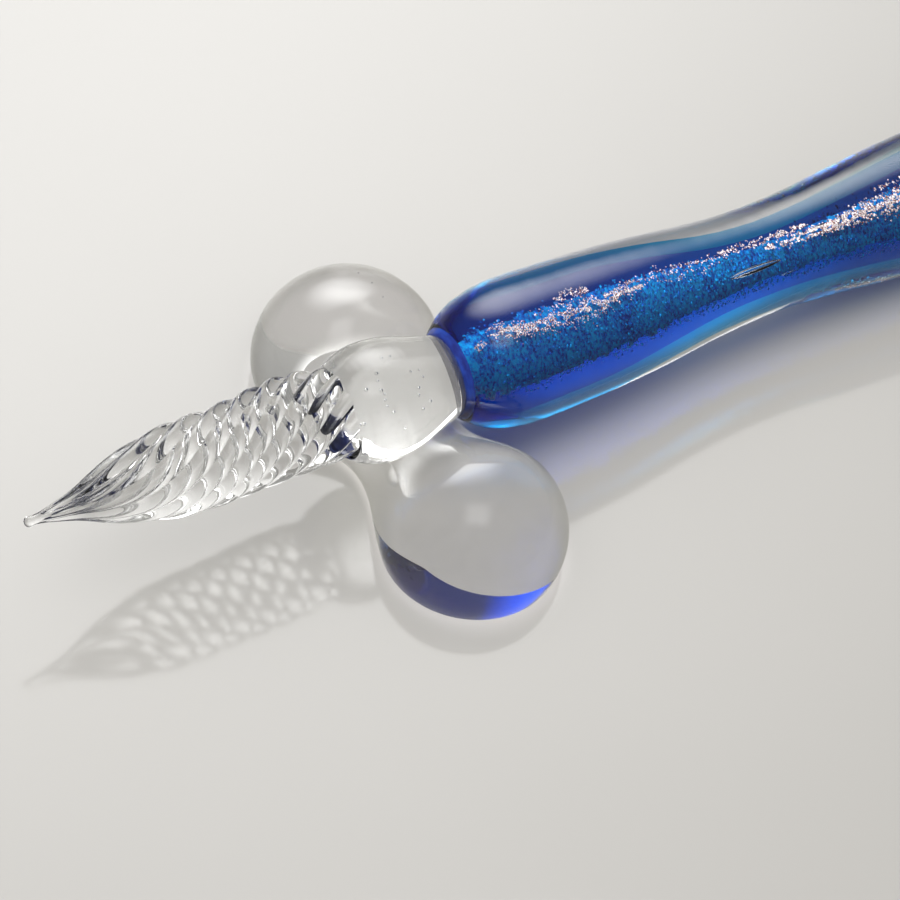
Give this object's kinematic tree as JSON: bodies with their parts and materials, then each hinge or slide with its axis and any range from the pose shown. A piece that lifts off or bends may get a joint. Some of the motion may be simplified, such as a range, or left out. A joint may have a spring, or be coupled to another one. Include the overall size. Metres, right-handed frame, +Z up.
{
  "type": "glass dip pen",
  "caption": "Hand-worked glass dip pen with a twisted ribbed nib, a clear grip bulb and a cased blue barrel, lying on a clear peanut-shaped glass pen rest.",
  "frame": {"origin": "middle of the pen rest's flat base, on the table the pen and its rest lie on", "axes": "+X runs under the pen from its writing point towards its tail, +Y along the pen rest, +Z up; the pen's own axis dips 2.4 degrees towards the tail"},
  "size_m": [0.1779, 0.0378, 0.0157],
  "materials": {
    "rest_glass": "clear, fire polished",
    "clear_glass": "clear, fire polished",
    "collar_glass": "opaque navy, fire polished",
    "turquoise_glass": "transparent turquoise",
    "cobalt_glass": "transparent cobalt blue",
    "copper_flakes": "glass full of bright copper flakes",
    "glitter_glass": "opaque blue glass with a granular sparkle"
  },
  "bodies": {
    "pen_rest": {"pen_rest": "rest_glass"},
    "pen": {"nib": "clear_glass", "grip_bulb": "clear_glass", "collar": "collar_glass", "clear_case": "clear_glass", "turquoise_overlay": "turquoise_glass", "cobalt_sleeve": "cobalt_glass", "flake_layer": "copper_flakes", "glitter_core": "glitter_glass", "tail_stem": "clear_glass", "tail_bead": "clear_glass"}
  },
  "joints": [
    {"name": "pen_lift", "type": "slide", "parent": "pen_rest", "child": "pen", "axis": [0, 0, 1], "range_m": [0, 0.06]}
  ]
}
